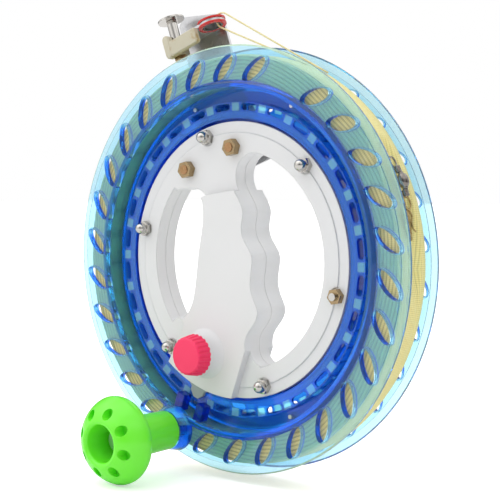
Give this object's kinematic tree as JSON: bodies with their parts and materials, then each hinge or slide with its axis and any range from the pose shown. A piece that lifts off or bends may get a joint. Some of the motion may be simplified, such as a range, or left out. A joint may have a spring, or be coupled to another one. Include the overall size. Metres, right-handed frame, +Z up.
{
  "type": "line reel",
  "caption": "Hand-held line reel with a clear blue spool turning round a white finger-grip hub on small ball bearings, a green crank knob, a red spool lock and a roller line guide.",
  "frame": {"origin": "on the spool's axis, halfway through the spool's width, inside the grip bar", "axes": "+Y along the spool's axis from the crank side to the back, +Z up towards the line guide, +X to the right seen from the crank side"},
  "size_m": [0.22, 0.0902, 0.2454],
  "materials": {
    "white_abs": "smooth satin moulding",
    "blue_clear": "clear blue polycarbonate, polished",
    "blue_race": "deep clear blue polycarbonate, polished",
    "green_abs": "glossy moulding",
    "red_plastic": "satin fluted moulding",
    "grey_plastic": "satin moulding",
    "bright_nickel": "bright plated",
    "swivel_nickel": "dark nickel plate",
    "bearing_steel": "ground steel",
    "zinc_steel": "bright zinc plate",
    "brass_nut": "yellow zinc plate",
    "snap_brass": "worn brass plate",
    "red_grommet": "glossy ring",
    "dark_ceramic": "polished ceramic",
    "ivory_nylon": "satin nylon",
    "yellow_line": "braided synthetic line"
  },
  "bodies": {
    "grip": {"hub_front": "white_abs", "hub_rear": "white_abs", "cap_nuts": "bright_nickel", "plain_nut": "bright_nickel", "bearing_bolts": "bright_nickel", "bearing_inner_rings": "bearing_steel", "guide_bolts": "zinc_steel", "guide_nuts": "brass_nut", "guide_spacers": "zinc_steel", "guide_arm": "zinc_steel", "line_eyelet": "red_grommet", "eyelet_lining": "dark_ceramic", "guide_block": "ivory_nylon", "guide_pin": "bright_nickel", "guide_pin_nut": "brass_nut", "line_lead": "yellow_line"},
    "spool": {"front_flange": "blue_clear", "rear_flange": "blue_clear", "race_front": "blue_race", "race_rear": "blue_race", "gate_blocks": "blue_race", "spool_screws": "zinc_steel", "line_winding": "yellow_line", "crank_axle": "zinc_steel", "crank_washer": "ivory_nylon", "swivel_eyes": "snap_brass", "snap_ring": "snap_brass", "snap_wire": "snap_brass", "snap_plate": "snap_brass"},
    "crank_knob": {"crank_knob": "green_abs"},
    "lock_knob": {"lock_knob": "red_plastic", "lock_screw": "zinc_steel"},
    "lock_tongue": {"lock_tongue": "grey_plastic"},
    "guide_roller": {"guide_roller": "bright_nickel"},
    "swivel_barrel": {"swivel_barrel": "swivel_nickel"},
    "bearing_1": {"bearing_1": "bearing_steel"},
    "bearing_2": {"bearing_2": "bearing_steel"},
    "bearing_3": {"bearing_3": "bearing_steel"},
    "bearing_4": {"bearing_4": "bearing_steel"},
    "bearing_5": {"bearing_5": "bearing_steel"},
    "bearing_6": {"bearing_6": "bearing_steel"}
  },
  "joints": [
    {"name": "spool_spin", "type": "hinge", "parent": "grip", "child": "spool", "pos_m": [0, 0, 0], "axis": [0, 1, 0], "continuous": true},
    {"name": "crank_spin", "type": "hinge", "parent": "spool", "child": "crank_knob", "pos_m": [-0.0369, -0.045, -0.09133], "axis": [0, 1, 0], "continuous": true},
    {"name": "lock_turn", "type": "hinge", "parent": "grip", "child": "lock_knob", "pos_m": [-0.01735, -0.022, -0.04955], "axis": [0, 1, 0], "range_deg": [0, 90]},
    {"name": "lock_slide", "type": "slide", "parent": "grip", "child": "lock_tongue", "axis": [-0.3305, 0, -0.9438], "range_m": [0, 0.0039]},
    {"name": "roller_spin", "type": "hinge", "parent": "grip", "child": "guide_roller", "pos_m": [-0.05453, 0.0046, 0.12233], "axis": [-0.342, 0, 0.9397], "continuous": true},
    {"name": "swivel_spin", "type": "hinge", "parent": "spool", "child": "swivel_barrel", "pos_m": [0.09797, -0.002, 0.04098], "axis": [-0.3859, 0, 0.9225], "continuous": true},
    {"name": "bearing_1_spin", "type": "hinge", "parent": "grip", "child": "bearing_1", "pos_m": [0.0452, 0, 0.04864], "axis": [0, 1, 0], "continuous": true},
    {"name": "bearing_2_spin", "type": "hinge", "parent": "grip", "child": "bearing_2", "pos_m": [-0.01952, 0, 0.06346], "axis": [0, 1, 0], "continuous": true},
    {"name": "bearing_3_spin", "type": "hinge", "parent": "grip", "child": "bearing_3", "pos_m": [-0.06472, 0, 0.01482], "axis": [0, 1, 0], "continuous": true},
    {"name": "bearing_4_spin", "type": "hinge", "parent": "grip", "child": "bearing_4", "pos_m": [-0.0452, 0, -0.04864], "axis": [0, 1, 0], "continuous": true},
    {"name": "bearing_5_spin", "type": "hinge", "parent": "grip", "child": "bearing_5", "pos_m": [0.01952, 0, -0.06346], "axis": [0, 1, 0], "continuous": true},
    {"name": "bearing_6_spin", "type": "hinge", "parent": "grip", "child": "bearing_6", "pos_m": [0.06472, 0, -0.01482], "axis": [0, 1, 0], "continuous": true}
  ],
  "couplings": [
    {"joint": "bearing_1_spin", "follows": "spool_spin", "ratio": 17.6},
    {"joint": "bearing_2_spin", "follows": "spool_spin", "ratio": 17.6},
    {"joint": "bearing_3_spin", "follows": "spool_spin", "ratio": 17.6},
    {"joint": "bearing_4_spin", "follows": "spool_spin", "ratio": 17.6},
    {"joint": "bearing_5_spin", "follows": "spool_spin", "ratio": 17.6},
    {"joint": "bearing_6_spin", "follows": "spool_spin", "ratio": 17.6},
    {"joint": "lock_turn", "follows": "lock_slide", "rad_per_m": 402.7}
  ]
}
